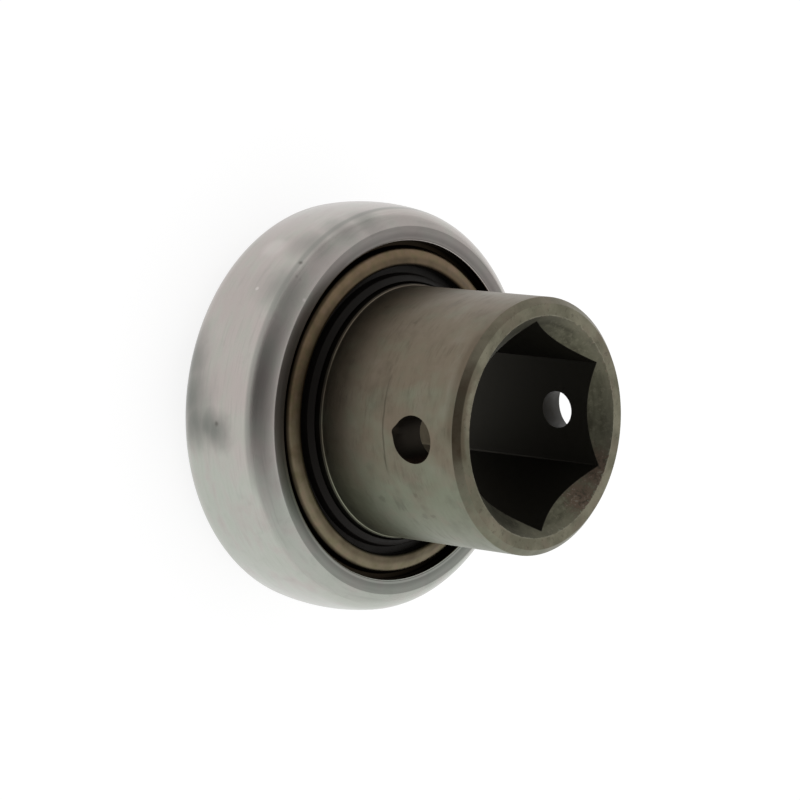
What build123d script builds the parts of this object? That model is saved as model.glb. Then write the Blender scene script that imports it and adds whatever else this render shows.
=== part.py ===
from build123d import *
import math
import os

# Insert bearing with a hex bore, in millimetres. Z is the bearing axis. The origin is on it,
# in the short end of the inner ring, which the bearing stands on with its sleeve upwards.
# The cross hole for a pin lies along X, square to two flats of the hex, and is wider on the -X side.

# Inner ring and its sleeve
hex_flats = 22.5          # 7/8 in hex with its clearance
hex_corner = 0.3
sleeve_wall = 2.885       # corner of the hex to the outside of the sleeve, 31.75 mm across
sleeve_reach = 22.97      # sleeve beyond the outer ring
back_reach = 1.6          # short end beyond the outer ring
end_chamfer = 0.8         # outer edge of the sleeve's end
end_flat = 1.475          # flat ring between that edge and the countersink
sink_angle = 90.0         # countersink at each end of the hex
pin_hole_dia = 4.65       # through the wall on the +X side
pin_entry_dia = 5.65      # through the wall on the -X side
pin_hole_inset = 7.2      # centre of both to the sleeve's end
land_reach = 0.75         # seal land beyond the outer ring's face, on the sleeve side
land_step = 1.0           # seal land below the raceway's shoulder
shoulder_margin = 0.3     # shoulder beyond the raceway's edge
edge_break = 0.3

# Balls and raceways, from the inner ring outwards
race_wall = 2.25          # corner of the hex to the bottom of the inner raceway
inner_race_depth = 1.86   # raceway bottom to shoulder
outer_race_depth = 1.82
ball_count = 9
ball_dia = 7.938          # 5/16 in
race_gap = 0.04           # running clearance of a ball to each raceway
groove_share = 0.52       # groove radius over ball diameter

# Outer ring, whose spherical seat turns in the housing
ring_wall = 2.742         # raceway bottom to the sphere, 52 mm across
ring_corner = 4.0         # rounding that runs from the edge of each face into the sphere
face_width = 1.6          # flat face, from the mouth to that rounding
mouth_chamfer = 0.2       # broken edge where a face meets the seal recess

# Riveted ribbon cage
ribbon_thick = 0.7
ribbon_width = 3.0
pocket_gap = 0.12
rivet_dia = 1.2
rivet_head_dia = 2.0
rivet_head_rise = 0.5
rivet_gap = 0.02

# Seals, the same on both sides: backing plate, rubber lip and pressed cap. Their height over
# the cage sets the width of the outer ring, 15 mm.
seal_to_cage = 0.3
plate_thick = 0.4
plate_overlap = 0.2       # the plate stops this far outside the foot of the lip
rubber_thick = 0.6
cap_thick = 0.45
cap_bend = 0.25           # inside bend radius of the pressed cap
cap_wall = 1.0            # rise of the cap's outer wall from its hem
cap_crown = 0.66          # further rise from the top of that wall to the inner rim
cap_proud = 0.1           # inner rim of the cap above the ring's face
cap_share = 0.667         # cap's width over the space from the lip's foot to the channel
cap_roll = 0.5            # outside radius of the cap's inner rim
recess_gap = 0.89         # open channel between the outer ring and the cap
groove_bite = 0.85        # depth of the groove that holds the cap's hem
groove_ramp = 0.3
hem_gap = 0.05
lip_gap = 0.1             # lip to the land that it runs on
lip_width = 1.0
lip_crest = 0.2           # crest of the lip above the ring's face
lip_crest_inset = 0.25    # crest outside the land
lip_slope = 0.6           # fall of the lip from its crest to its outer edge

# Radii that follow
hex_corner_r = hex_flats / math.sqrt(3)
sleeve_r = hex_corner_r + sleeve_wall
sink_r = sleeve_r - end_chamfer - end_flat
ball_r = ball_dia / 2
groove_r = groove_share * ball_dia
pocket_r = ball_r + pocket_gap
inner_race_r = hex_corner_r + race_wall
pitch_r = inner_race_r + race_gap + ball_r
outer_race_r = pitch_r + ball_r + race_gap
sphere_r = outer_race_r + ring_wall
inner_shoulder_r = inner_race_r + inner_race_depth
outer_shoulder_r = outer_race_r - outer_race_depth
face_rim_r = outer_shoulder_r + mouth_chamfer + face_width
land_r = inner_shoulder_r - land_step
lip_foot_r = land_r + lip_width
seal_groove_r = outer_shoulder_r + groove_bite
cap_outer_r = outer_shoulder_r - recess_gap
cap_inner_r = cap_outer_r - cap_share * (cap_outer_r - lip_foot_r)

# Heights that follow, from the middle of the outer ring's width
plate_z = pocket_r + ribbon_thick + seal_to_cage
cap_z = plate_z + plate_thick
hem_top_z = cap_z + cap_thick
rubber_top_z = cap_z + rubber_thick
cap_shoulder_z = hem_top_z + cap_wall
cap_rim_z = cap_shoulder_z + cap_crown
face_z = cap_rim_z - cap_proud
sleeve_z = face_z + sleeve_reach
back_z = -face_z - back_reach

middle = Pos(0, 0, face_z + back_reach)
ball_step = 360 / ball_count


def turned(*outline):
    # Solid turned about Z from a closed outline of lines drawn as (radius, height)
    return revolve(Plane.XZ * make_face(outline), Axis.Z)


def tube(outer_r, inner_r, low_z, high_z):
    wall = Circle(outer_r) - Circle(inner_r)
    return Pos(0, 0, low_z) * extrude(wall, high_z - low_z)


def around(shape, offset=0.0):
    # One copy of the shape for each ball, turned about Z
    return [Rot(0, 0, offset + ball_step * i) * shape for i in range(ball_count)]


def seal_groove():
    # Undercut that the hem of a seal's cap is curled into, open to the bore
    inside_r = outer_shoulder_r - groove_bite
    ramp_z = hem_top_z + groove_ramp
    points = [(inside_r, plate_z), (seal_groove_r, plate_z), (seal_groove_r, hem_top_z),
              (outer_shoulder_r, ramp_z), (inside_r, ramp_z)]
    return turned(Polyline(*points, close=True))


def face_mouth():
    rim_r = outer_shoulder_r + mouth_chamfer
    low_z = face_z - mouth_chamfer
    points = [(0, low_z), (outer_shoulder_r, low_z), (rim_r, face_z), (0, face_z)]
    return turned(Polyline(*points, close=True))


def ring_blank():
    # Sphere whose roundings touch it from inside and end in an edge at the rim of each face
    rim = math.hypot(face_rim_r, face_z)
    reach = sphere_r - ring_corner
    along = (reach ** 2 + rim ** 2 - ring_corner ** 2) / (2 * rim)
    blend = math.atan2(face_z, face_rim_r) - math.acos(along / reach)
    blend_r, blend_z = sphere_r * math.cos(blend), sphere_r * math.sin(blend)
    seat = ThreePointArc((blend_r, blend_z), (sphere_r, 0), (blend_r, -blend_z))
    high_corner = RadiusArc((face_rim_r, face_z), (blend_r, blend_z), ring_corner)
    low_corner = RadiusArc((blend_r, -blend_z), (face_rim_r, -face_z), ring_corner)
    bore = Polyline((face_rim_r, -face_z), (outer_shoulder_r, -face_z),
                    (outer_shoulder_r, face_z), (face_rim_r, face_z))
    return turned(seat, low_corner, bore, high_corner)


def make_outer_ring():
    ring = ring_blank() - Torus(outer_race_r - groove_r, groove_r)
    for cut in (seal_groove(), face_mouth()):
        ring -= cut
        ring -= mirror(cut, Plane.XY)
    return ring


def inner_ring_blank():
    # Turned outside of the inner ring, with its shoulders still full over the raceway
    groove_centre = inner_race_r + groove_r
    half_race = math.sqrt(groove_r ** 2 - (groove_centre - inner_shoulder_r) ** 2)
    shoulder_z = half_race + shoulder_margin
    drop_z = shoulder_z + edge_break
    land_z = face_z + land_reach
    points = [(0, back_z), (land_r - edge_break, back_z), (land_r, back_z + edge_break),
              (land_r, -drop_z), (inner_shoulder_r, -shoulder_z),
              (inner_shoulder_r, shoulder_z), (land_r, drop_z),
              (land_r, land_z), (sleeve_r, land_z + abs(land_r - sleeve_r)),
              (sleeve_r, sleeve_z - end_chamfer), (sleeve_r - end_chamfer, sleeve_z),
              (0, sleeve_z)]
    return turned(Polyline(*points, close=True))


def countersink():
    # Cone that opens upwards to the sink's mouth at height 0
    depth = sink_r / math.tan(math.radians(sink_angle / 2))
    return turned(Polyline((0, -depth), (sink_r, 0), (0, 0), close=True))


def make_inner_ring():
    ring = inner_ring_blank()
    ring -= Torus(inner_race_r + groove_r, groove_r)
    hexagon = RegularPolygon(hex_flats / 2, 6, major_radius=False, rotation=30)
    hexagon = fillet(hexagon.vertices(), hex_corner)
    ring -= Pos(0, 0, back_z) * extrude(hexagon, sleeve_z - back_z)
    ring -= Pos(0, 0, sleeve_z) * countersink()
    ring -= Pos(0, 0, back_z) * mirror(countersink(), Plane.XY)
    for dia, side in ((pin_hole_dia, 1), (pin_entry_dia, -1)):
        hole = Rot(0, 90, 0) * Cylinder(dia / 2, 2 * sleeve_r)
        ring -= Pos(side * sleeve_r, 0, sleeve_z - pin_hole_inset) * hole
    return ring


def make_cage_half():
    # Pressed ribbon above the middle plane: flat tabs, and a domed pocket over each ball
    low_r = pitch_r - ribbon_width / 2
    high_r = pitch_r + ribbon_width / 2
    reach = pocket_r + ribbon_thick
    half = tube(high_r, low_r, 0, ribbon_thick)
    domes = Part() + around(Pos(pitch_r, 0, 0) * Sphere(reach))
    half += domes & tube(high_r, low_r, 0, reach)
    half -= around(Pos(pitch_r, 0, 0) * Sphere(pocket_r))
    hole = Pos(pitch_r, 0, 0) * Cylinder(rivet_dia / 2 + rivet_gap, 2 * ribbon_thick)
    half -= around(hole, ball_step / 2)
    return half


def make_rivet():
    # Shank through both ribbons, with a low domed head seated on each
    head_r = rivet_head_dia / 2
    dome_r = (head_r ** 2 + rivet_head_rise ** 2) / (2 * rivet_head_rise)
    dome = Pos(0, 0, ribbon_thick + rivet_head_rise - dome_r) * Sphere(dome_r)
    head = split(dome, bisect_by=Plane.XY.offset(ribbon_thick))
    return Cylinder(rivet_dia / 2, 2 * ribbon_thick) + head + mirror(head, Plane.XY)


def make_seal_plate():
    return tube(seal_groove_r - hem_gap, lip_foot_r + plate_overlap, plate_z, cap_z)


def make_seal_cap():
    # Pressed sheet: hem in the ring's groove, wall, crowned face and inner rim on the rubber
    hem_r = seal_groove_r - hem_gap
    wall_r = cap_outer_r + cap_thick / 4
    skin = cap_bend + cap_thick
    outside = FilletPolyline(
        (hem_r, hem_top_z), (wall_r, hem_top_z), (cap_outer_r, cap_shoulder_z),
        (cap_inner_r, cap_rim_z), (cap_inner_r, rubber_top_z),
        radius=[cap_bend, skin, cap_roll])
    inside = FilletPolyline(
        (hem_r, cap_z), (wall_r - cap_thick, cap_z),
        (cap_outer_r - cap_thick, cap_shoulder_z - cap_thick / 2),
        (cap_inner_r + cap_thick, cap_rim_z - cap_thick), (cap_inner_r + cap_thick, rubber_top_z),
        radius=[skin, cap_bend, cap_bend / 2])
    hem_end = Line(outside @ 0, inside @ 0)
    rim_end = Line(outside @ 1, inside @ 1)
    return turned(outside, hem_end, inside, rim_end)


def make_seal_lip():
    # Rubber on the plate, wrapped round its inner edge and raised into one lip over the land
    crest_z = face_z + lip_crest
    plate_r = lip_foot_r + plate_overlap
    rubber_r = cap_outer_r - 2 * cap_thick
    points = [(rubber_r, cap_z), (rubber_r, rubber_top_z),
              (plate_r, rubber_top_z), (lip_foot_r, crest_z - lip_slope),
              (land_r + lip_crest_inset, crest_z), (land_r + lip_gap, crest_z - lip_slope / 2),
              (land_r + lip_width / 2, cap_z + rubber_thick / 2),
              (plate_r - rubber_thick, plate_z), (plate_r, plate_z), (plate_r, cap_z)]
    return turned(Polyline(*points, close=True))


def make_pieces():
    pieces = {"outer_ring": make_outer_ring(), "inner_ring": make_inner_ring()}
    for i, ball in enumerate(around(Pos(pitch_r, 0, 0) * Sphere(ball_r))):
        pieces[f"ball_{i + 1}"] = ball
    half = make_cage_half()
    pieces["cage_front"] = half
    pieces["cage_rear"] = mirror(half, Plane.XY)
    for i, rivet in enumerate(around(Pos(pitch_r, 0, 0) * make_rivet(), ball_step / 2)):
        pieces[f"cage_rivet_{i + 1}"] = rivet
    seal = {"plate": make_seal_plate(), "lip": make_seal_lip(), "cap": make_seal_cap()}
    for name, shape in seal.items():
        pieces[f"front_seal_{name}"] = shape
        pieces[f"rear_seal_{name}"] = mirror(shape, Plane.XY)
    return pieces


os.makedirs("parts", exist_ok=True)
for node, piece in make_pieces().items():
    export_step(middle * piece, f"parts/{node}.step")
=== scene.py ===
import math

import bpy
import numpy as np
from mathutils import Matrix, Vector


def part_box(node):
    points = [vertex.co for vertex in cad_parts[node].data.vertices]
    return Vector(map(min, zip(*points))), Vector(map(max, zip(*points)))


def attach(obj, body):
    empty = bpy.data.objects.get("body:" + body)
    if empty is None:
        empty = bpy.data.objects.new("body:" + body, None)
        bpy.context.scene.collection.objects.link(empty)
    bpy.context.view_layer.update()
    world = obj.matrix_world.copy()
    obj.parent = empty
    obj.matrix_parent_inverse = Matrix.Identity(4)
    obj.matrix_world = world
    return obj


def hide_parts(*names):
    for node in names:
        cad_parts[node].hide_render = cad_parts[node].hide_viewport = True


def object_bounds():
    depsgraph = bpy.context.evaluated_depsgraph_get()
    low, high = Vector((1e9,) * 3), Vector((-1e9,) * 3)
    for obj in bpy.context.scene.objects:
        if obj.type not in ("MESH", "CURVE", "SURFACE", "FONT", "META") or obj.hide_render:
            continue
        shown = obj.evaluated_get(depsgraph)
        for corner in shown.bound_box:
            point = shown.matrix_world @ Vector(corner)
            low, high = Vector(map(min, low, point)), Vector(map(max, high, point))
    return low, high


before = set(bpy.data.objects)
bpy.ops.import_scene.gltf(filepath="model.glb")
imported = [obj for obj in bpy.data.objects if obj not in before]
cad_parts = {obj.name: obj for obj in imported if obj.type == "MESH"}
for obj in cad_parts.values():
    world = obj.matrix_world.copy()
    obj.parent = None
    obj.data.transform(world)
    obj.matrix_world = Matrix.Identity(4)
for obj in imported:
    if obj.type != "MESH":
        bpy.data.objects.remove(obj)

mm = 0.001
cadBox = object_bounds()
ringLow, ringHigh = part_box("outer_ring")
middle = (ringLow.z + ringHigh.z) / 2 / mm        # height of the outer ring's middle, in mm
faceUp = (ringHigh.z - ringLow.z) / 2 / mm        # its face above that
sleeveTop = cadBox[1].z / mm                      # height of the sleeve's end
endUp = sleeveTop - middle                        # that end above the ring's middle
backDown = -middle                                # short end of the inner ring, from there too
print("frame loaded, ring middle at", round(middle, 3), "mm")


# Outlines are arrays of (radius, height), in mm and from the ring's middle, and run so that
# the metal is on their left.

def arc(centre, radius, start, stop, count):
    # points on a circle, from one angle in degrees to another
    turn = np.radians(np.linspace(start, stop, count))
    return np.stack([centre[0] + radius * np.cos(turn), centre[1] + radius * np.sin(turn)], 1)


def softCorners(corners, radii, steps=7):
    # closed outline with each corner replaced by an arc of its radius
    corners = np.array(corners, float)
    runs = []
    for i, radius in enumerate(radii):
        here = corners[i]
        before = corners[i - 1] - here
        after = corners[(i + 1) % len(corners)] - here
        before, after = before / np.hypot(*before), after / np.hypot(*after)
        if radius <= 0:
            runs.append(here[None])
            continue
        half = math.acos(np.clip(before @ after, -1, 1)) / 2
        cut = radius / math.tan(half)
        centre = here + (before + after) / np.hypot(*(before + after)) * radius / math.sin(half)
        first = here + before * cut - centre
        last = here + after * cut - centre
        start = math.atan2(first[1], first[0])
        sweep = (math.atan2(last[1], last[0]) - start + math.pi) % (2 * math.pi) - math.pi
        turn = start + sweep * np.linspace(0, 1, steps)
        runs.append(centre + radius * np.stack([np.cos(turn), np.sin(turn)], 1))
    return np.concatenate(runs)


def divided(outline, longest, closed=True):
    # the same outline with no span longer than `longest`
    ends = np.roll(outline, -1, axis=0) if closed else outline[1:]
    starts = outline if closed else outline[:-1]
    parts = [a + (b - a) * np.arange(n)[:, None] / n
             for a, b, n in ((a, b, max(1, math.ceil(np.hypot(*(b - a)) / longest)))
                             for a, b in zip(starts, ends))]
    if not closed:
        parts.append(outline[-1:])
    return np.concatenate(parts)


def mirrored(outline):
    # the same piece for the other side of the ring, still with its metal on the left
    return (outline * (1, -1))[::-1]


def turnedGrid(outline, angles):
    # every outline point is carried once round Z
    radius, height = outline[:, 0, None], outline[:, 1, None]
    return np.stack([radius * np.cos(angles), radius * np.sin(angles),
                     height + 0 * angles], axis=-1)


def gridPiece(name, grid, material, closedRows=True, capped=False):
    # quads between the points of a grid in mm, closed round its columns
    rows, columns = grid.shape[:2]
    index = np.arange(rows * columns).reshape(rows, columns)
    if closedRows:
        index = np.vstack([index, index[:1]])
    nextColumn = np.roll(index, -1, axis=1)
    quads = np.stack([index[:-1], nextColumn[:-1], nextColumn[1:], index[1:]], -1).reshape(-1, 4)
    sizes = np.full(len(quads), 4)
    corners = quads.ravel()
    if capped:
        corners = np.concatenate([corners, index[0][::-1], index[-1]])
        sizes = np.concatenate([sizes, [columns, columns]])
    mesh = bpy.data.meshes.new(name)
    mesh.vertices.add(rows * columns)
    mesh.loops.add(len(corners))
    mesh.polygons.add(len(sizes))
    mesh.vertices.foreach_set("co", (grid.reshape(-1, 3) * mm + (0, 0, middle * mm)).ravel())
    mesh.loops.foreach_set("vertex_index", corners.astype(np.int32))
    mesh.polygons.foreach_set("loop_start", (np.cumsum(sizes) - sizes).astype(np.int32))
    mesh.polygons.foreach_set("use_smooth", np.ones(len(sizes), bool))
    mesh.update(calc_edges=True)
    mesh.validate()
    piece = bpy.data.objects.new(name, mesh)
    bpy.context.scene.collection.objects.link(piece)
    if material:
        mesh.materials.append(material)
    return piece


def sharpen(piece, degrees=28):
    piece.data.set_sharp_from_angle(angle=math.radians(degrees))


# Shader arithmetic: a Wire is a socket that can be added, multiplied and so on

class Wire:
    def __init__(self, shader, socket):
        self.shader, self.socket = shader, socket

    def __add__(self, other): return self.shader.math("ADD", self, other)
    def __sub__(self, other): return self.shader.math("SUBTRACT", self, other)
    def __rsub__(self, other): return self.shader.math("SUBTRACT", other, self)
    def __mul__(self, other): return self.shader.math("MULTIPLY", self, other)
    __radd__ = __add__
    __rmul__ = __mul__


class Shader:
    def __init__(self, owner, output="Object", scale=1 / mm):
        owner.use_nodes = True
        self.owner, self.tree = owner, owner.node_tree
        self.tree.nodes.clear()
        place = self.node("ShaderNodeTexCoord", output=output)
        self.place = self.vector("SCALE", place, Scale=scale)       # on the object, in mm
        self.x, self.y, self.z = self.split(self.place)
        self.radius = self.math("SQRT", self.x * self.x + self.y * self.y)

    def split(self, value):
        parts = self.node("ShaderNodeSeparateXYZ", {}, {0: value}).socket.node.outputs
        return [Wire(self, part) for part in parts]

    def node(self, kind, settings=None, values=None, output=0):
        made = self.tree.nodes.new(kind)
        for name, value in (settings or {}).items():
            setattr(made, name, value)
        for key, value in (values or {}).items():
            if isinstance(value, Wire):
                self.tree.links.new(value.socket, made.inputs[key])
            else:
                made.inputs[key].default_value = value
        return Wire(self, made.outputs[output]) if made.outputs else None

    def math(self, operation, a, b=0.0):
        return self.node("ShaderNodeMath", {"operation": operation}, {0: a, 1: b})

    def vector(self, operation, a, b=None, **named):
        values = {0: a, **named}
        if b is not None:
            values[1] = b
        return self.node("ShaderNodeVectorMath", {"operation": operation}, values)

    def band(self, value, low, high):
        # 0 below low, 1 above high, smooth between; low may be the larger
        return self.node("ShaderNodeMapRange", {"interpolation_type": "SMOOTHSTEP"},
                         {"Value": value, "From Min": low, "From Max": high})

    def noise(self, scale, stretch=(1, 1, 1), detail=3.0, rough=0.55, shift=(0, 0, 0)):
        # clouds with `scale` blobs per mm, squeezed along each axis by `stretch`
        spot = self.vector("MULTIPLY", self.place, tuple(scale * s for s in stretch))
        spot = self.vector("ADD", spot, shift)
        return self.node("ShaderNodeTexNoise", {"normalize": True},
                         {"Vector": spot, "Scale": 1.0, "Detail": detail, "Roughness": rough})

    def rings(self, perMm, around=0.05, detail=2.0, shift=0.0, lean=0.37):
        # turning marks: noise over height and radius that hardly changes on the way round
        along = self.z * perMm + self.radius * (perMm * lean) + shift
        spot = self.node("ShaderNodeCombineXYZ", {},
                         {0: self.x * around, 1: self.y * around, 2: along})
        return self.node("ShaderNodeTexNoise", {}, {"Vector": spot, "Scale": 1.0, "Detail": detail})

    def blend(self, factor, a, b):
        def colour(value):
            return value if isinstance(value, Wire) else (*value, 1.0)
        return self.node("ShaderNodeMix", {"data_type": "RGBA"},
                         {0: factor, 6: colour(a), 7: colour(b)}, output=2)

    def layered(self, colour, *layers):
        # each (share, colour) covers the ones before it by its share
        for share, over in layers:
            colour = self.blend(share, colour, over)
        return colour

    def hexReach(self):
        # distance from the axis square to the nearest flat of the hex: it is flats / 2 on its walls
        half, root = self.x * 0.5, self.y * (math.sqrt(3) / 2)
        reach = self.math("ABSOLUTE", self.x)
        reach = self.math("MAXIMUM", reach, self.math("ABSOLUTE", half + root))
        return self.math("MAXIMUM", reach, self.math("ABSOLUTE", half - root))

    def spots(self, places, ragged=0.0, core=0.35):
        # 1 within the core of each (x, y, z, size) in mm, falling to 0 at its size
        total = None
        for x, y, z, size in places:
            far = self.node("ShaderNodeVectorMath", {"operation": "DISTANCE"},
                            {0: self.place, 1: (x, y, z)}, output="Value")
            one = self.band(far + ragged, size, size * core)
            total = one if total is None else self.math("MAXIMUM", total, one)
        return total

    def bump(self, height, depth):
        # relief of that depth in mm
        return self.node("ShaderNodeBump", {},
                         {"Height": height, "Distance": depth * mm, "Strength": 1.0})

    def finish(self, values):
        surface = self.node("ShaderNodeBsdfPrincipled", {}, values)
        self.node("ShaderNodeOutputMaterial", {}, {"Surface": surface})
        return self.owner


def newMaterial(name):
    return Shader(bpy.data.materials.new(name))


# Finishes. A mark or patch is (x, y, z, size) in mm, and a pair of numbers is where a change starts
# and where it is complete.

groundLook = dict(
    warm=(0.445, 0.408, 0.382), cool=(0.44, 0.46, 0.413), bright=(0.53, 0.52, 0.49),
    pink=(0.45, 0.40, 0.381), green=(0.405, 0.43, 0.375), dull=(0.2, 0.205, 0.187),
    smear=(0.62, 0.57, 0.55), grime=(0.10, 0.095, 0.085), paintedShade=(0.022, 0.014, 0.009),
    specks=[(-25.97, 1.31, 9.41, 0.5), (-15.39, 20.3, 14.28, 0.45), (-16.84, 18.56, 15.61, 0.45),
            (-16.87, 18.89, 14.97, 0.35)],
    lightSpecks=[(-19.36, 17.29, 10.62, 0.35), (-17.25, 16.04, 16.58, 0.35)],
    smears=[(-14.27, 21.73, 8.97, 2.4)],
    # painted shade low on the side of -X, with a tongue up to the equator, standing for the
    # shadowed floor that this side reflects; and dull patches along the top
    worn=[(-25.4, 4.0, 3.4, 7.5), (-25.7, 1.2, 5.2, 5.5), (-24.2, 8.4, 2.0, 7.0),
          (-25.93, 0.9, 7.6, 4.0), (-25.95, 0.6, 9.2, 3.7)],
    dim=[(-12.6, 22.3, 13.2, 4.2), (-4.3, 24.4, 14.6, 3.4), (-8.5, 23.4, 14.2, 3.6),
         (-18.6, 17.6, 13.4, 4.6)],
    # heights over the ring's middle where the band below the front rounding starts and stops
    brimFoot=(4.5, 4.95), brimHead=(5.6, 5.15),
    # flat faces: share of the brightness near the mouth, further out and on the mouth's edge
    face=0.47, outerFace=0.62, edge=0.32, outward=(22.1, 22.8), rimOuter=(22.02, 21.86),
    # the rim just outside the mouth gets a painted highlight, stronger low down
    rimInner=(0.18, 0.26), edgeWidth=(0.24, 0.2), paintedRimGlint=0.05, paintedRimGlintLow=0.2,
    grooveWall=(0.9, 0.87), rough=0.24, faceRough=0.36, linesPerMm=3.5, linesDepth=0.003)


def sphereColour(s):
    look = groundLook
    cloud = s.noise(0.07, detail=2.0)
    tint = s.noise(0.28, (1, 1, 2.2), detail=4.0, shift=(2, 6, 1))
    haze = s.noise(0.5, detail=4.0, shift=(5, 2, 8))
    fine = s.rings(6.0, 0.2, 3.0, shift=9.0)
    # the raggedness of the patches is drawn out along the circumference
    ragged = (s.noise(0.2, (1, 1, 2.5), detail=5.0) - 0.5) * 4.0
    # duller just below the front rounding, on the side of +Y and -X
    height = s.z - middle
    brim = s.band(height, *look["brimFoot"]) * s.band(height, *look["brimHead"])
    brim = brim * s.band(s.y - s.x * 0.4, 0, 9)
    base = s.blend(s.band(cloud * 0.5 + s.y * 0.02, 0.32, 0.12), look["warm"], look["cool"])
    return s.layered(base,
                     (s.band(cloud, 0.45, 0.7) * 0.25, look["bright"]),
                     (s.band(tint, 0.42, 0.75) * 0.6, look["pink"]),
                     (s.band(tint, 0.55, 0.25) * 0.45, look["green"]),
                     # painted shade: the shadowed floor as the side of -X reflects it
                     (s.spots(look["worn"], ragged * 0.7, core=0.0), look["dull"]),
                     (s.spots(look["dim"], ragged * 0.7, core=0.0) * 0.55, look["dull"]),
                     (brim * 0.55, look["dull"]),
                     (s.spots(look["smears"], ragged * 0.5) * 0.4, look["smear"]),
                     (s.spots(look["lightSpecks"]) * 0.6, look["smear"]),
                     (s.band(haze, 0.55, 0.75) * 0.12, look["dull"]),
                     (s.band(fine, 0.5, 0.75) * 0.14, look["dull"]),
                     (s.spots(look["specks"], core=0.0) * 0.8, look["grime"]))


def faceLevel(s):
    # the flat faces are duller near the mouth; a painted highlight brightens the rim just outside
    # the mouth's edge, most of all low down
    look, mouth = groundLook, outerRing["shoulder"]
    level = s.band(s.radius, *look["outward"]) * (look["outerFace"] - look["face"]) + look["face"]
    rim = s.band(s.radius, *look["rimOuter"])
    rim = rim * s.band(s.radius, *(mouth + r for r in look["rimInner"]))
    # painted highlight on that rim, stronger low down
    level = level + rim * (look["paintedRimGlint"] + look["paintedRimGlintLow"] * s.band(s.y, 2, -14))
    edge = s.band(s.radius, *(mouth + r for r in look["edgeWidth"]))
    return level + edge * (look["edge"] - level)


def groundSteel():
    look, mouth = groundLook, outerRing["shoulder"]
    s = newMaterial("ground steel")
    streak = s.rings(look["linesPerMm"], 0.09)
    side = s.math("ABSOLUTE", s.z - middle)
    face = s.band(side, faceUp - 0.04, faceUp - 0.015)
    level = faceLevel(s)
    grey = s.node("ShaderNodeCombineColor", {}, {0: level, 1: level, 2: level})
    colour = s.node("ShaderNodeMix", {"data_type": "RGBA", "blend_type": "MULTIPLY"},
                    {0: 1.0, 6: sphereColour(s), 7: s.blend(face, (1, 1, 1), grey)}, output=2)
    # painted shade, nearly black, on the walls inside the mouth
    inside = s.band(s.radius, *(mouth + r for r in look["grooveWall"]))
    inside = inside * s.band(side, faceUp - 0.1, faceUp - 0.25)
    roughness = look["rough"] + 0.12 * (streak - 0.5) + face * (look["faceRough"] - look["rough"])
    return s.finish({"Base Color": s.blend(inside, colour, look["paintedShade"]), "Metallic": 1.0,
                     "Roughness": roughness, "Normal": s.bump(streak, look["linesDepth"])})


turnedLook = dict(
    # sleeve
    brown=(0.192, 0.16, 0.118), olive=(0.204, 0.219, 0.161), pale=(0.25, 0.235, 0.19),
    dark=(0.055, 0.047, 0.035), paintedShade=(0.012, 0.010, 0.008), blush=(0.235, 0.19, 0.15),
    moss=(0.18, 0.19, 0.135), low=(0.32, 0.325, 0.235),
    marks=[(-12.3, -10.04, 31.0, 0.7), (-12.36, -9.96, 32.4, 0.5), (-13.56, -8.25, 25.16, 0.7),
           (-14.17, -7.16, 31.19, 0.5), (-9.05, 13.05, 27.22, 0.4), (-6.87, 14.31, 20.67, 0.5)],
    lowZ=(24, 18.5), lowY=(-1, -8), lineZ=27.7, lineFrom=(-5.5, -2.5), lineTo=(8, 4),
    foot=(0.93, 0.86),
    # end and countersink, with depths below the end
    flat=(0.232, 0.218, 0.158), flatDark=(0.15, 0.143, 0.1), flatEdge=(0.33, 0.315, 0.25),
    sink=(0.122, 0.119, 0.083), sinkDark=(0.07, 0.067, 0.046), rust=(0.125, 0.085, 0.064),
    stain=(0.076, 0.054, 0.033), stainX=(-8, -13), stainFrom=(-3.4, -0.8), stainTo=(10, 6),
    stainFlat=(14.1, 14.8), besideX=(-4, -12), besideY=(-1.5, 1.5), besideDeep=(2.4, 1.2),
    rusty=[(11.3, -7.0, 3.6), (8.2, -10.4, 3.2)], rustyDeep=1,
    # bore and cross hole: their near-black walls are painted shade, and the deep wall seen through
    # the -X hole has painted light
    bore=(0.03, 0.027, 0.019), paintedLightBore=(0.12, 0.098, 0.06), paintedLightZ=(15, 12), paintedLightX=(2, 8),
    farHole=(0.028, 0.026, 0.022), nearHole=(0.024, 0.019, 0.013), holeRust=(0.09, 0.052, 0.036),
    boreMetal=0.65, holeMetal=0.9, holeRough=0.15, rough=0.42, linesPerMm=2.2, linesDepth=0.0015)


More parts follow.
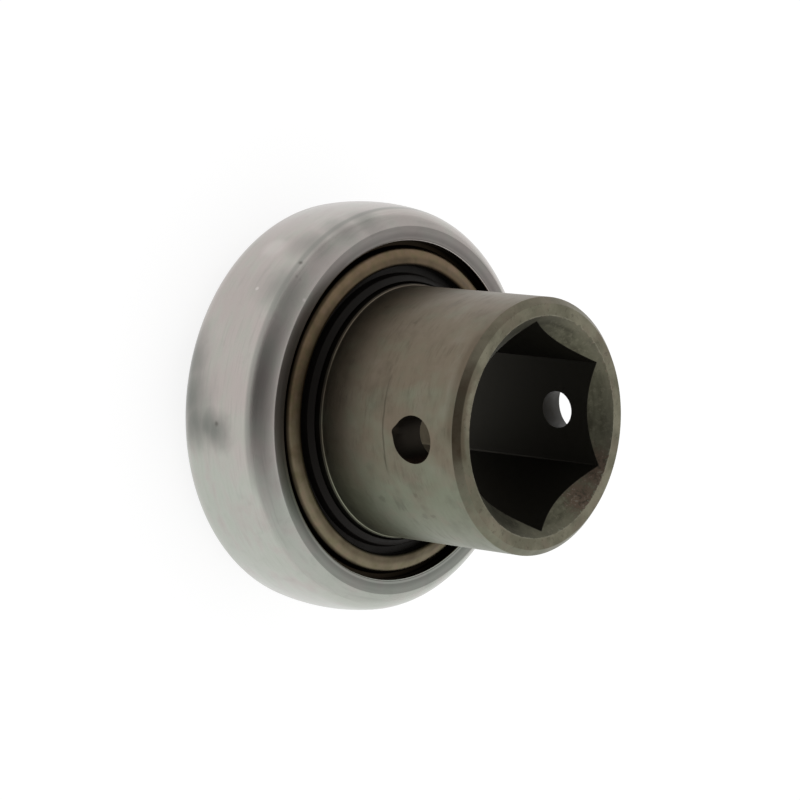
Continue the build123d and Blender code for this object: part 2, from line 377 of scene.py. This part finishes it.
def sleeveColour(s, grain):
    look, tint, wander = turnedLook, grain["tint"], grain["wander"]
    cloud = s.noise(0.22, (1, 1, 1.4), detail=4.0)
    broad = s.noise(0.12, detail=3.0)
    fine = s.rings(6.0, 0.8, 3.0, shift=3.0)
    # the turning marks come and go
    shows = s.band(s.noise(0.3, detail=2.0, shift=(4, 1, 6)), 0.4, 0.65)
    # paler low down on the side of -Y
    low = s.band(s.z, *look["lowZ"]) * s.band(s.y, *look["lowY"])
    # one deeper turning line beside the cross hole
    line = s.band(s.math("ABSOLUTE", s.z - look["lineZ"] + wander), 0.2, 0.04)
    line = line * s.band(s.y, *look["lineFrom"]) * s.band(s.y, *look["lineTo"]) * s.band(s.x, 0, -5)
    # the foot, inside the seal, is nearly black: painted shade in the channel between the lip and
    # the sleeve
    foot = s.band(s.z + wander * 0.1, *(middle + faceUp + height for height in look["foot"]))
    base = s.blend(s.band(broad + s.y * 0.03, 0.30, 0.62), look["olive"], look["brown"])
    return s.layered(base,
                     (s.band(cloud, 0.5, 0.72) * 0.3, look["pale"]),
                     (s.band(cloud, 0.48, 0.3) * 0.22, look["dark"]),
                     (s.band(tint, 0.5, 0.7) * 0.3, look["blush"]),
                     (s.band(tint, 0.5, 0.32) * 0.3, look["moss"]),
                     (s.band(grain["streak"], 0.5, 0.75) * shows * 0.2, look["dark"]),
                     (s.band(fine, 0.48, 0.7) * shows * 0.14, look["dark"]),
                     (s.spots(look["marks"], (s.noise(2.5) - 0.5) * 1.2) * 0.25, look["dark"]),
                     (low * 0.55, look["low"]),
                     (line * 0.5, look["dark"]),
                     (foot * 0.8, look["paintedShade"]))


def flatColour(s, grain, stained):
    # the flat ring at the sleeve's end, whose outer part shares the stain of its edge
    look, mottle, mouth = turnedLook, grain["mottle"], innerRing["sink"]
    patches = s.band(mottle * 0.35 + grain["coarse"] * 0.65, 0.42, 0.6)
    lip = s.band(s.radius, mouth + 0.16, mouth + 0.06)
    outer = s.band(s.radius + (mottle - 0.5) * 1.5, *look["stainFlat"])
    return s.layered(s.blend(patches, look["flat"], look["flatDark"]),
                     (s.band(grain["tint"], 0.48, 0.62) * 0.5, look["brown"]),
                     (s.band(grain["speckle"], 0.56, 0.68) * 0.4, look["dark"]),
                     (lip * s.band(mottle, 0.35, 0.6) * 0.4, look["flatEdge"]),
                     (stained * outer * 0.6, look["stain"]))


def withEnd(s, grain, colour, flat, stained):
    # the sleeve's colour with its end: the chamfer, the sleeve beside it and the flat ring
    look, outside, cut = turnedLook, innerRing["sleeve"], innerRing["chamfer"]
    chamfer = s.band(s.z, sleeveTop - cut, sleeveTop - cut + 0.06)
    chamfer = chamfer * s.band(s.radius, outside - cut - 0.02, outside - cut + 0.1)
    beside = s.band(s.z, *(sleeveTop - deep for deep in look["besideDeep"]))
    beside = beside * s.band(s.z, sleeveTop - cut + 0.02, sleeveTop - cut - 0.04)
    beside = beside * s.band(s.x, *look["besideX"]) * s.band(s.y, *look["besideY"])
    blotched = 0.5 + 0.35 * s.band(grain["mottle"], 0.4, 0.6)
    return s.layered(colour,
                     (beside * 0.4, look["stain"]),
                     (chamfer * 0.6, flat),
                     (chamfer * stained * blotched, look["stain"]),
                     (s.band(s.z, sleeveTop - 0.05, sleeveTop - 0.02), flat))


def sinkColour(s, grain, flat):
    # the cone down to the hex, with brown pitting low down
    look, speckle, mouth = turnedLook, grain["speckle"], innerRing["sink"]
    turned = s.rings(1.6, 0.35, 4.0, shift=5.0)
    patches = s.band(turned * 0.45 + grain["mottle"] * 0.55, 0.38, 0.66)
    rusty = [(x, y, sleeveTop - look["rustyDeep"], size) for x, y, size in look["rusty"]]
    rust = s.spots(rusty, (speckle - 0.5) * 6.0)
    return s.layered(s.blend(patches, look["sink"], look["sinkDark"]),
                     (s.band(speckle, 0.5, 0.66) * 0.3, look["flat"]),
                     (s.band(s.radius, mouth - 1.1, mouth) * 0.35, flat),
                     (rust * 0.75, look["rust"]),
                     (rust * s.band(speckle, 0.52, 0.58) * 0.8, look["dark"]),
                     (rust * s.band(speckle, 0.42, 0.37) * 0.5, look["pale"]))


def crossHole(s, grain, reach):
    # where the cross hole's wall is, which is all that lies near its axis between the hex and the
    # outside, and the colour of that wall
    look, i = turnedLook, innerRing
    up = s.z - (sleeveTop - i["pinInset"])
    fromAxis = s.math("SQRT", s.y * s.y + up * up)
    wall = s.band(fromAxis, i["pinMouth"] + 0.4, i["pinMouth"] + 0.2)
    wall = wall * s.band(s.radius, i["sleeve"] - 0.02, i["sleeve"] - 0.05)
    wall = wall * s.band(reach, i["flats"] / 2 + 0.02, i["flats"] / 2 + 0.04)
    # painted shade: the cross hole's walls are nearly black, with rust on part of the -X side
    near = s.blend(s.band(up - s.y, 0.5, 2.5), look["nearHole"], look["holeRust"])
    colour = s.blend(s.band(s.x, 0, -1), look["farHole"], near)
    return wall, s.blend(s.band(grain["speckle"], 0.45, 0.62) * 0.6, colour, look["nearHole"])


def turnedSteel():
    look, i = turnedLook, innerRing
    s = newMaterial("turned steel")
    grain = dict(streak=s.rings(look["linesPerMm"], 0.4, 3.0),
                 tint=s.noise(0.35, detail=5.0, shift=(8, 3, 2)),
                 wander=(s.noise(0.3, shift=(3, 7, 1)) - 0.5) * 0.5,
                 mottle=s.noise(0.5, detail=5.0, rough=0.6),
                 coarse=s.noise(0.16, detail=2.0, shift=(1, 4, 2)),
                 speckle=s.noise(1.6, detail=4.0, rough=0.7))
    # the brown stain of the end, on the side of -X
    stained = s.band(s.x, *look["stainX"])
    stained = stained * s.band(s.y + grain["wander"] * 6, *look["stainFrom"])
    stained = stained * s.band(s.y + grain["wander"] * 8, *look["stainTo"])
    flat = flatColour(s, grain, stained)
    cone = s.band(s.radius + (grain["speckle"] - 0.5) * 1.2, i["sink"] + 0.06, i["sink"] - 0.06)
    reach = s.hexReach()
    # painted shade: the hex bore's walls are nearly black
    bore = s.band(reach, i["flats"] / 2 + 0.03, i["flats"] / 2 + 0.01)
    # painted light: the wall that shows through the -X hole is browner and paler than the rest of
    # the bore, as if lit through the rear opening
    deep = s.band(s.z, *look["paintedLightZ"]) * s.band(s.x, *look["paintedLightX"])
    pin, pinColour = crossHole(s, grain, reach)
    colour = s.layered(withEnd(s, grain, sleeveColour(s, grain), flat, stained),
                       (cone, sinkColour(s, grain, flat)),
                       (bore, s.blend(deep, look["bore"], look["paintedLightBore"])),
                       (pin, pinColour))
    metal = 1.0 - bore * (1 - look["boreMetal"])
    metal = metal - pin * (metal - look["holeMetal"])
    roughness = look["rough"] + 0.15 * (grain["streak"] - 0.5) + pin * look["holeRough"]
    return s.finish({"Base Color": colour, "Metallic": metal, "Roughness": roughness,
                     "Normal": s.bump(grain["streak"], look["linesDepth"])})


capLook = dict(top=(0.19, 0.137, 0.083), low=(0.20, 0.172, 0.112), olive=(0.15, 0.14, 0.072),
               rosy=(0.235, 0.162, 0.12), shade=(0.075, 0.058, 0.036), paintedShade=(0.012, 0.008, 0.004),
               shaded=(19.7, 19.1), crown=(20.0, 20.5), rough=0.36,
               linesPerMm=3.0, linesDepth=0.002)


def capSheet():
    look, c = capLook, seal
    s = newMaterial("bronzed seal sheet")
    cloud = s.noise(0.35, detail=4.0)
    blotch = s.noise(0.8, detail=5.0, shift=(3, 5, 2))
    fine = s.rings(5.0, 0.25, 3.0)
    side = s.math("ABSOLUTE", s.z - middle)
    # painted shade towards the cap's inner part, with darker mottling and turning marks added to it
    shade = s.band(s.radius, *look["shaded"]) * 0.5
    shade = shade + s.band(cloud, 0.45, 0.65) * 0.2 + s.band(fine, 0.5, 0.7) * 0.2
    # painted shade, nearly black: the rolled inner rim, the walls that go down and the outer edge,
    # most on -X
    roll = s.band(s.radius, c["capInner"] + 0.55, c["capInner"] + 0.15)
    drop = side + s.band(s.radius, *look["crown"]) * 0.1
    wall = s.band(drop, c["shoulderZ"] + 0.08, c["shoulderZ"] - 0.35)
    outward = s.radius + (cloud - 0.5) * 0.2 + s.band(s.x, 5, -12) * 0.25
    outer = s.band(outward, c["capOuter"] - 0.3, c["capOuter"] + 0.06)
    base = s.blend(s.band(cloud * 0.6 + s.y * 0.025, 0.50, 0.10), look["top"], look["low"])
    colour = s.layered(base,
                       (s.band(blotch, 0.5, 0.66) * 0.5, look["olive"]),
                       (s.band(blotch, 0.5, 0.34) * 0.4, look["rosy"]),
                       (shade, look["shade"]),
                       (roll * 0.6, look["paintedShade"]),
                       (wall * 0.96, look["paintedShade"]),
                       (outer * 0.7, look["paintedShade"]))
    return s.finish({"Base Color": colour, "Metallic": 1.0,
                     "Roughness": look["rough"] + 0.15 * (cloud - 0.5),
                     "Normal": s.bump(s.rings(look["linesPerMm"]), look["linesDepth"])})


rubberLook = dict(dark=(0.0045, 0.004, 0.0035), light=(0.0095, 0.008, 0.0068), rough=0.42,
                  index=1.23, sheen=(1.0, 0.93, 0.86, 1), pits=3.0, pitDepth=0.004)


def lipRubber():
    look = rubberLook
    s = newMaterial("seal rubber")
    cloud = s.noise(0.6, detail=3.0)
    return s.finish({"Base Color": s.blend(cloud, look["dark"], look["light"]),
                     "Roughness": look["rough"] + 0.35 * (cloud - 0.5), "IOR": look["index"],
                     "Specular Tint": look["sheen"],
                     "Normal": s.bump(s.noise(look["pits"]), look["pitDepth"])})


ballLook = dict(grey=(0.6, 0.6, 0.6, 1), rough=0.08)


def ballSteel():
    s = newMaterial("ball steel")
    return s.finish({"Base Color": ballLook["grey"], "Metallic": 1.0,
                     "Roughness": ballLook["rough"] + 0.04 * s.noise(1.0)})


cageLook = dict(dark=(0.40, 0.40, 0.39), light=(0.5, 0.49, 0.46), rough=0.35)


def cageSheet():
    look = cageLook
    s = newMaterial("cage sheet")
    cloud = s.noise(0.5)
    return s.finish({"Base Color": s.blend(cloud, look["dark"], look["light"]),
                     "Metallic": 1.0, "Roughness": look["rough"] + 0.1 * cloud})


# Outer ring: sphere, roundings that end in an edge at each face, seal grooves and raceway

outerRing = dict(sphere=26.0, corner=4.0, rim=23.238, shoulder=21.438, mouthEdge=0.2,
                 mouthRound=[(0.7, 0.12), (0.25, 0.5), (0, 1.2)], grooveBite=0.85, grooveLow=5.089,
                 grooveHigh=5.939, ramp=0.3, race=23.258, raceRadius=4.128, worn=0.07,
                 crownSteps=12, cornerSteps=20, raceSteps=12, span=0.6)


def outerRingOutline():
    # half of the section, from the equator up over the face to the raceway, then its mirror
    o = outerRing
    reach = o["sphere"] - o["corner"]
    rim = math.hypot(o["rim"], faceUp)
    along = (reach ** 2 + rim ** 2 - o["corner"] ** 2) / (2 * rim)
    meet = math.atan2(faceUp, o["rim"]) - math.acos(along / reach)
    centre = (reach * math.cos(meet), reach * math.sin(meet))
    stop = math.degrees(math.atan2(faceUp - centre[1], o["rim"] - centre[0]))
    worn = math.degrees(o["worn"] / o["corner"])
    crown = arc((0, 0), o["sphere"], 0, math.degrees(meet), o["crownSteps"])
    corner = arc(centre, o["corner"], math.degrees(meet), stop - worn, o["cornerSteps"])[1:]
    corner = np.concatenate([corner, [(o["rim"] - o["worn"], faceUp)]])
    mouth = o["shoulder"]
    inside = mouth + o["grooveBite"]
    edge = o["mouthEdge"]
    # the mouth's edge is rounded by shares of its size, outwards and down
    rounded = [(mouth + edge * out, faceUp - edge * down) for out, down in o["mouthRound"]]
    bore = np.array([(mouth + edge + 0.05, faceUp), *rounded,
                     (mouth, o["grooveHigh"] + o["ramp"]),
                     (inside, o["grooveHigh"]), (inside, o["grooveLow"]), (mouth, o["grooveLow"])])
    raceCentre = o["race"] - o["raceRadius"]
    lip = math.degrees(math.acos((mouth - raceCentre) / o["raceRadius"]))
    race = arc((raceCentre, 0), o["raceRadius"], lip, 0, o["raceSteps"])
    half = np.concatenate([crown, corner, bore, race])
    whole = np.concatenate([half, (half * (1, -1))[::-1][1:-1]])
    return divided(whole, o["span"])


# Inner ring: a turned outside, and a hex bore with countersunk ends and a cross hole

innerRing = dict(sleeve=15.875, chamfer=0.8, land=16.1, shoulder=17.1, race=15.24, raceRadius=4.128,
                 landReach=0.75, edge=0.3, flats=22.5, hexCorner=0.3,
                 sink=13.6, sinkAngle=90.0, pinNear=2.825, pinFar=2.325, pinInset=7.2,
                 pinFlare=0.36, flareFrom=15.2, flareTo=16.4, pinOpens=13.0, pinMouth=3.5,
                 nickAngle=-74, nickWidth=11, nick=0.4, nickTop=15.9, cutterReach=20,
                 raceSteps=20, coneSteps=12, boreSteps=60, span=0.5)


def hexRadius(angle):
    # distance from the axis to the wall of the hex, whose corners are rounded
    i = innerRing
    half = i["flats"] / 2
    corner = i["hexCorner"]
    wrapped = (angle + math.pi / 6) % (math.pi / 3) - math.pi / 6
    flat = half / np.cos(wrapped)
    reach = (half - corner) / math.cos(math.pi / 6)
    aside = math.pi / 6 - np.abs(wrapped)
    inside = np.maximum(corner ** 2 - (reach * np.sin(aside)) ** 2, 0)
    limit = math.atan((half - corner) * math.tan(math.pi / 6) / half)
    return np.where(np.abs(wrapped) > limit, reach * np.cos(aside) + np.sqrt(inside), flat)


def innerRingAngles():
    # columns every degree, with more of them at the rounded corners of the hex
    near = np.array([0.15, 0.3, 0.45, 0.65, 0.85])
    corners = np.arange(30, 360, 60)[:, None]
    return np.radians(np.unique(np.concatenate([
        np.arange(0, 360, 1.0), (corners + near).ravel(), (corners - near).ravel()])))


def innerRingOutside():
    # the turned outside, from the back end's flat up to the flat at the sleeve's end
    i = innerRing
    landTop = faceUp + i["landReach"]
    step = i["land"] - i["sleeve"]
    raceCentre = i["race"] + i["raceRadius"]
    half = math.sqrt(i["raceRadius"] ** 2 - (raceCentre - i["shoulder"]) ** 2)
    lip = math.degrees(math.asin(half / i["raceRadius"]))
    race = arc((raceCentre, 0), i["raceRadius"], 180 + lip, 180 - lip, i["raceSteps"])
    shoulderZ = half + 0.3
    e = i["edge"]
    low = softCorners([(i["sink"], backDown), (i["land"] - e, backDown), (i["land"], backDown + e),
                       (i["land"], -shoulderZ - e), (i["shoulder"], -shoulderZ),
                       (i["shoulder"], -half)],
                      [0, 0.1, 0.1, 0.05, 0.05, 0])[1:]
    c = i["chamfer"]
    high = softCorners([(i["shoulder"], half), (i["shoulder"], shoulderZ),
                        (i["land"], shoulderZ + e), (i["land"], landTop),
                        (i["sleeve"], landTop + step), (i["sleeve"], endUp - c),
                        (i["sleeve"] - c, endUp), (i["sink"], endUp)],
                       [0, 0.05, 0.05, 0.1, 0.1, 0.12, 0.12, 0])[:-1]
    return divided(np.concatenate([low, race, high]), i["span"], closed=False)


def innerRingGrid(angles):
    # the outside is the same all round; the bore's rows follow the edge where cone meets hex
    i = innerRing
    slope = math.tan(math.radians(i["sinkAngle"] / 2))
    hexWall = hexRadius(angles)
    rows = [turnedGrid(innerRingOutside(), angles)]

    def coneRows(end, direction, shares):
        radius = i["sink"] + (hexWall - i["sink"]) * shares[:, None]
        height = end - direction * (i["sink"] - radius) / slope
        return np.stack([radius * np.cos(angles), radius * np.sin(angles), height], -1)

    shares = np.linspace(0, 1, i["coneSteps"])
    rows.append(coneRows(endUp, 1, shares))
    top = endUp - (i["sink"] - hexWall) / slope
    bottom = backDown + (i["sink"] - hexWall) / slope
    down = np.linspace(0, 1, i["boreSteps"])[1:-1, None]
    height = top + (bottom - top) * down
    wall = hexWall + 0 * down
    rows.append(np.stack([wall * np.cos(angles), wall * np.sin(angles), height], -1))
    rows.append(coneRows(backDown, -1, shares[::-1]))
    return np.concatenate(rows)


def pinCutter():
    # the cross hole: a bar along X, thicker on the -X side, with a nick beside its -X mouth, and
    # widening towards its +X mouth
    i = innerRing
    reach = np.array([-i["cutterReach"], -i["flareTo"], -i["nickTop"], -15.6, -i["flareFrom"], -14,
                      -0.01, 0.01, i["pinOpens"], i["sleeve"], i["cutterReach"]])
    near = i["pinNear"] + np.interp(-reach, [i["flareFrom"], i["flareTo"]], [0, i["pinFlare"]])
    far = np.interp(reach, [i["pinOpens"], i["sleeve"]], [i["pinFar"], i["pinMouth"]])
    radius = np.where(reach < 0, near, far)
    turn = np.radians(np.arange(0, 360, 3.0))
    aside = (np.degrees(turn) - i["nickAngle"] + 180) % 360 - 180
    fade = np.interp(reach, [-i["nickTop"], -i["flareFrom"]], [1, 0])
    radius = radius[:, None] + i["nick"] * np.exp(-(aside / i["nickWidth"]) ** 2) * fade[:, None]
    grid = np.stack([reach[:, None] + 0 * turn, radius * np.cos(turn),
                     radius * np.sin(turn) + endUp - i["pinInset"]], -1)
    return gridPiece("pin cutter", grid, None, closedRows=False, capped=True)


def makeInnerRing(material):
    piece = gridPiece("innerRingShell", innerRingGrid(innerRingAngles()), material)
    cutter = pinCutter()
    cut = piece.modifiers.new("cross hole", "BOOLEAN")
    cut.operation, cut.solver, cut.object = "DIFFERENCE", "EXACT", cutter
    bpy.context.view_layer.update()
    graph = bpy.context.evaluated_depsgraph_get()
    finished = bpy.data.meshes.new_from_object(piece.evaluated_get(graph))
    piece.modifiers.clear()
    piece.data = finished
    bpy.data.objects.remove(cutter)
    piece.data.polygons.foreach_set("use_smooth", np.ones(len(piece.data.polygons), bool))
    sharpen(piece)
    return piece


# Seals: a pressed cap and a rubber lip on each side

seal = dict(plateZ=5.089, capZ=5.489, hemTop=5.939, rubberTop=6.089, shoulderZ=6.939, rimZ=7.599,
            hem=22.238, capOuter=20.548, capInner=18.248, sheet=0.45, bend=0.25, roll=0.5,
            lipGap=0.1, lipWidth=1.0, crest=0.2, crestInset=0.25, slope=0.6, plateIn=0.2,
            rubberThick=0.6, span=0.4)


def capOutline():
    s = seal
    t = s["sheet"]
    wall = s["capOuter"] + t / 4
    corners = [(s["hem"], s["capZ"]), (s["hem"], s["hemTop"]), (wall, s["hemTop"]),
               (s["capOuter"], s["shoulderZ"]), (s["capInner"], s["rimZ"]),
               (s["capInner"], s["rubberTop"]),
               (s["capInner"] + t, s["rubberTop"]), (s["capInner"] + t, s["rimZ"] - t),
               (s["capOuter"] - t, s["shoulderZ"] - t / 2), (wall - t, s["capZ"])]
    radii = [0.05, 0.05, s["bend"], s["bend"] + t, s["roll"], 0.05, 0.05, s["bend"] / 2, s["bend"],
             s["bend"] + t]
    return divided(softCorners(corners, radii), s["span"])


def lipOutline():
    s, land = seal, innerRing["land"]
    crestZ = faceUp + s["crest"]
    foot = land + s["lipWidth"]
    plate = foot + s["plateIn"]
    outer = s["capOuter"] - 2 * s["sheet"]
    corners = [(outer, s["capZ"]), (outer, s["rubberTop"]), (plate, s["rubberTop"]),
               (foot, crestZ - s["slope"]), (land + s["crestInset"], crestZ),
               (land + s["lipGap"], crestZ - s["slope"] / 2),
               (land + s["lipWidth"] / 2, s["capZ"] + s["rubberThick"] / 2),
               (plate - s["rubberThick"], s["plateZ"]), (plate, s["plateZ"]), (plate, s["capZ"])]
    radii = [0.05, 0.05, 0.15, 0.12, 0.1, 0.05, 0.1, 0.05, 0.05, 0.0]
    return divided(softCorners(corners, radii), s["span"])


steel, sleeveSteel, bronze, rubber = groundSteel(), turnedSteel(), capSheet(), lipRubber()
around = np.radians(np.arange(0, 360, 1.0))

shell = gridPiece("outerRingShell", turnedGrid(outerRingOutline(), around), steel)
sharpen(shell)
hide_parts("outer_ring")
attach(shell, "outer")
print("outer ring made,", len(shell.data.polygons), "faces")

sleeve = makeInnerRing(sleeveSteel)
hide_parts("inner_ring")
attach(sleeve, "inner")
print("inner ring made,", len(sleeve.data.polygons), "faces")

for side, turn in (("front", lambda outline: outline), ("rear", mirrored)):
    for part, outline, material in (("cap", capOutline(), bronze), ("lip", lipOutline(), rubber)):
        piece = gridPiece(side + part.title(), turnedGrid(turn(outline), around), material)
        sharpen(piece)
        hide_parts(f"{side}_seal_{part}")
        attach(piece, "outer")
print("seals made")

inside = {"ball": ballSteel(), "cage": cageSheet(), "seal_plate": cageSheet()}
for name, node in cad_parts.items():
    if name in ("outer_ring", "inner_ring") or name.endswith(("_cap", "_lip")):
        continue
    kind = next((k for k in ("ball", "cage") if name.startswith(k)), "seal_plate")
    node.data.materials.clear()
    node.data.materials.append(inside[kind])


# Floor, light and camera

studio = dict(floorSize=1.2, floorGap=0.02, white=1.32, shadowShare=0.35,
              floorColour=(0.8, 0.8, 0.8, 1), dim=0.18, lit=0.80, lean=0.10, squeeze=0.76,
              frontAzimuth=162, frontHeight=28, reach=93,
              lowAzimuth=166, lowHeight=4, lowReach=40, lowShare=0.5)


def seenDirectly(s):
    # 1 for what the camera looks at, and 1 for what it, a reflection or a see-through surface does
    rays = s.node("ShaderNodeLightPath").socket.node.outputs
    camera, glossy, through = (Wire(s, rays[name + " Ray"])
                               for name in ("Is Camera", "Is Glossy", "Is Transmission"))
    return camera, s.math("MAXIMUM", camera, s.math("MAXIMUM", glossy, through))


def floorMaterial():
    s = newMaterial("studio floor")
    shown = seenDirectly(s)[1]
    plain = s.node("ShaderNodeBsdfDiffuse", {}, {"Color": studio["floorColour"]})
    glow = s.node("ShaderNodeEmission", {}, {"Color": (1, 1, 1, 1), "Strength": studio["white"]})
    share = shown * (1 - studio["shadowShare"])
    mixed = s.node("ShaderNodeMixShader", {}, {0: share, 1: plain, 2: glow})
    s.node("ShaderNodeOutputMaterial", {}, {"Surface": mixed})
    return s.owner


def makeFloor():
    half = studio["floorSize"] / 2
    mesh = bpy.data.meshes.new("studioFloor")
    low = -studio["floorGap"] * mm
    mesh.from_pydata([(-half, -half, low), (half, -half, low), (half, half, low),
                      (-half, half, low)], [], [(0, 1, 2, 3)])
    mesh.materials.append(floorMaterial())
    floor = bpy.data.objects.new("studioFloor", mesh)
    bpy.context.scene.collection.objects.link(floor)


def direction(azimuth, height):
    a, h = math.radians(azimuth), math.radians(height)
    return (math.cos(a) * math.cos(h), math.sin(a) * math.cos(h), math.sin(h))


def makeWorld():
    # a light room whose front, behind the camera, is dim: brightness grows with the angle
    # from there
    world = bpy.data.worlds.new("studio")
    bpy.context.scene.world = world
    s = Shader(world, "Generated", 1.0)

    def angleFrom(way, ray):
        cosine = s.node("ShaderNodeVectorMath", {"operation": "DOT_PRODUCT"},
                        {0: ray, 1: way}, "Value")
        return s.math("ARCCOSINE", cosine) * math.degrees(1)

    squeezed = s.vector("NORMALIZE", s.vector("MULTIPLY", s.place, (1, 1, studio["squeeze"])))
    away = s.band(angleFrom(direction(studio["frontAzimuth"], studio["frontHeight"]), squeezed),
                  0, studio["reach"])
    lit = studio["lit"] - s.y * studio["lean"]
    level = studio["dim"] + (lit - studio["dim"]) * away
    low = s.band(angleFrom(direction(studio["lowAzimuth"], studio["lowHeight"]), s.place),
                 studio["lowReach"], 0)
    level = level * (1 - low * studio["lowShare"])
    camera = seenDirectly(s)[0]
    level = s.math("MAXIMUM", level, camera)
    light = s.node("ShaderNodeBackground", {}, {"Color": (1, 1, 1, 1), "Strength": level})
    s.node("ShaderNodeOutputWorld", {}, {"Surface": light})


viewpoint = dict(azimuth=167.886, height=41.993, roll=96.582, distance=459.8, lens=162.454,
                 aim=(3.524, 0.556, 12.797), sensor=36, nearest=0.01, farthest=10)


def makeCamera():
    # stands on the line from the aim at these angles, and is rolled about that line
    v = viewpoint
    roll = math.radians(v["roll"])
    back = Vector(direction(v["azimuth"], v["height"]))
    level = Vector((0, 0, 1)).cross(back).normalized()
    upright = back.cross(level)
    right = level * math.cos(roll) + upright * math.sin(roll)
    up = back.cross(right)
    camera = bpy.data.cameras.new("camera")
    camera.lens, camera.sensor_width = v["lens"], v["sensor"]
    camera.clip_start, camera.clip_end = v["nearest"], v["farthest"]
    stand = bpy.data.objects.new("camera", camera)
    turn = Matrix((right, up, back)).transposed().to_4x4()
    stand.matrix_world = Matrix.Translation((Vector(v["aim"]) + back * v["distance"]) * mm) @ turn
    bpy.context.scene.collection.objects.link(stand)
    bpy.context.scene.camera = stand


makeFloor()
makeWorld()
makeCamera()
bpy.context.scene.view_settings.view_transform = "Standard"
bpy.context.view_layer.update()
print("scene ready")
